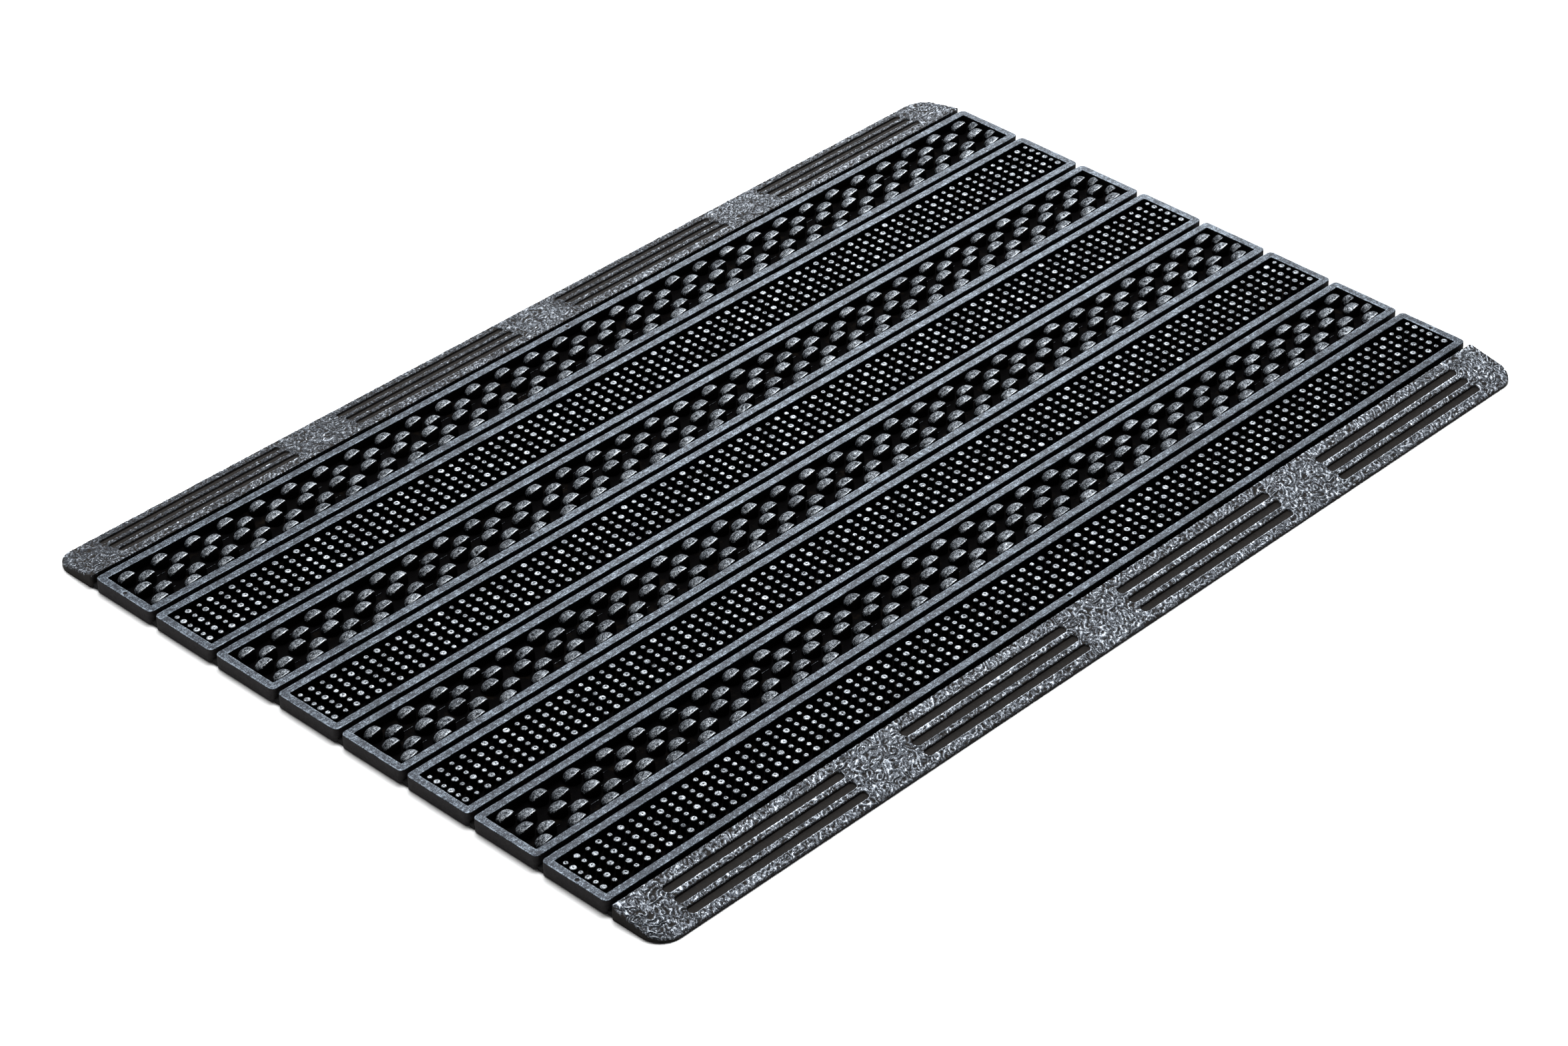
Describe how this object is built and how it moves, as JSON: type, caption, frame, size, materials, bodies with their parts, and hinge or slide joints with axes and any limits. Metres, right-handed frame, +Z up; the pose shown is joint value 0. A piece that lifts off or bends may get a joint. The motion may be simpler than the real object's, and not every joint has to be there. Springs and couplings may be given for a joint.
{
  "type": "door mat",
  "caption": "Rectangular moulded rubber scraper mat with alternating studded and pinned tread panels, two slotted ramp borders and thin webs that let it roll up.",
  "frame": {"origin": "middle of the underside, on the floor", "axes": "+X along the tread panels, the long side; +Y across the panels towards the rear border; +Z up"},
  "size_m": [0.6, 0.4, 0.0082],
  "materials": {
    "silver_rubber": "black moulded rubber with silver paint rubbed on its raised faces",
    "black_rubber": "matte black moulded rubber, silver paint on the stud and pin tips",
    "web_rubber": "matte black moulded rubber, unpainted"
  },
  "bodies": {
    "rear_border": {"ramp_border_rear": "silver_rubber"},
    "panel_1": {"panel_frame_1": "silver_rubber", "stud_tread_1": "black_rubber", "hinge_web_1": "web_rubber"},
    "panel_2": {"panel_frame_2": "silver_rubber", "pin_tread_2": "black_rubber", "hinge_web_2": "web_rubber"},
    "panel_3": {"panel_frame_3": "silver_rubber", "stud_tread_3": "black_rubber", "hinge_web_3": "web_rubber"},
    "panel_4": {"panel_frame_4": "silver_rubber", "pin_tread_4": "black_rubber", "hinge_web_4": "web_rubber", "hinge_web_5": "web_rubber"},
    "panel_5": {"panel_frame_5": "silver_rubber", "stud_tread_5": "black_rubber", "hinge_web_6": "web_rubber"},
    "panel_6": {"panel_frame_6": "silver_rubber", "pin_tread_6": "black_rubber", "hinge_web_7": "web_rubber"},
    "panel_7": {"panel_frame_7": "silver_rubber", "stud_tread_7": "black_rubber", "hinge_web_8": "web_rubber"},
    "panel_8": {"panel_frame_8": "silver_rubber", "pin_tread_8": "black_rubber", "hinge_web_9": "web_rubber"},
    "front_border": {"ramp_border_front": "silver_rubber"}
  },
  "joints": [
    {"name": "web_4_flex", "type": "hinge", "parent": "panel_4", "child": "panel_3", "pos_m": [0, 0.04225, 0.00115], "axis": [1, 0, 0], "range_deg": [-35, 22], "stiffness_Nm_per_rad": 0.8, "deforming": ["hinge_web_4"]},
    {"name": "web_3_flex", "type": "hinge", "parent": "panel_3", "child": "panel_2", "pos_m": [0, 0.0845, 0.00115], "axis": [1, 0, 0], "range_deg": [-35, 22], "stiffness_Nm_per_rad": 0.8, "deforming": ["hinge_web_3"]},
    {"name": "web_2_flex", "type": "hinge", "parent": "panel_2", "child": "panel_1", "pos_m": [0, 0.12675, 0.00115], "axis": [1, 0, 0], "range_deg": [-35, 22], "stiffness_Nm_per_rad": 0.8, "deforming": ["hinge_web_2"]},
    {"name": "web_1_flex", "type": "hinge", "parent": "panel_1", "child": "rear_border", "pos_m": [0, 0.169, 0.00115], "axis": [1, 0, 0], "range_deg": [-35, 22], "stiffness_Nm_per_rad": 0.8, "deforming": ["hinge_web_1"]},
    {"name": "web_5_flex", "type": "hinge", "parent": "panel_4", "child": "panel_5", "pos_m": [0, 0, 0.00115], "axis": [-1, 0, 0], "range_deg": [-35, 22], "stiffness_Nm_per_rad": 0.8, "deforming": ["hinge_web_5"]},
    {"name": "web_6_flex", "type": "hinge", "parent": "panel_5", "child": "panel_6", "pos_m": [0, -0.04225, 0.00115], "axis": [-1, 0, 0], "range_deg": [-35, 22], "stiffness_Nm_per_rad": 0.8, "deforming": ["hinge_web_6"]},
    {"name": "web_7_flex", "type": "hinge", "parent": "panel_6", "child": "panel_7", "pos_m": [0, -0.0845, 0.00115], "axis": [-1, 0, 0], "range_deg": [-35, 22], "stiffness_Nm_per_rad": 0.8, "deforming": ["hinge_web_7"]},
    {"name": "web_8_flex", "type": "hinge", "parent": "panel_7", "child": "panel_8", "pos_m": [0, -0.12675, 0.00115], "axis": [-1, 0, 0], "range_deg": [-35, 22], "stiffness_Nm_per_rad": 0.8, "deforming": ["hinge_web_8"]},
    {"name": "web_9_flex", "type": "hinge", "parent": "panel_8", "child": "front_border", "pos_m": [0, -0.169, 0.00115], "axis": [-1, 0, 0], "range_deg": [-35, 22], "stiffness_Nm_per_rad": 0.8, "deforming": ["hinge_web_9"]}
  ]
}
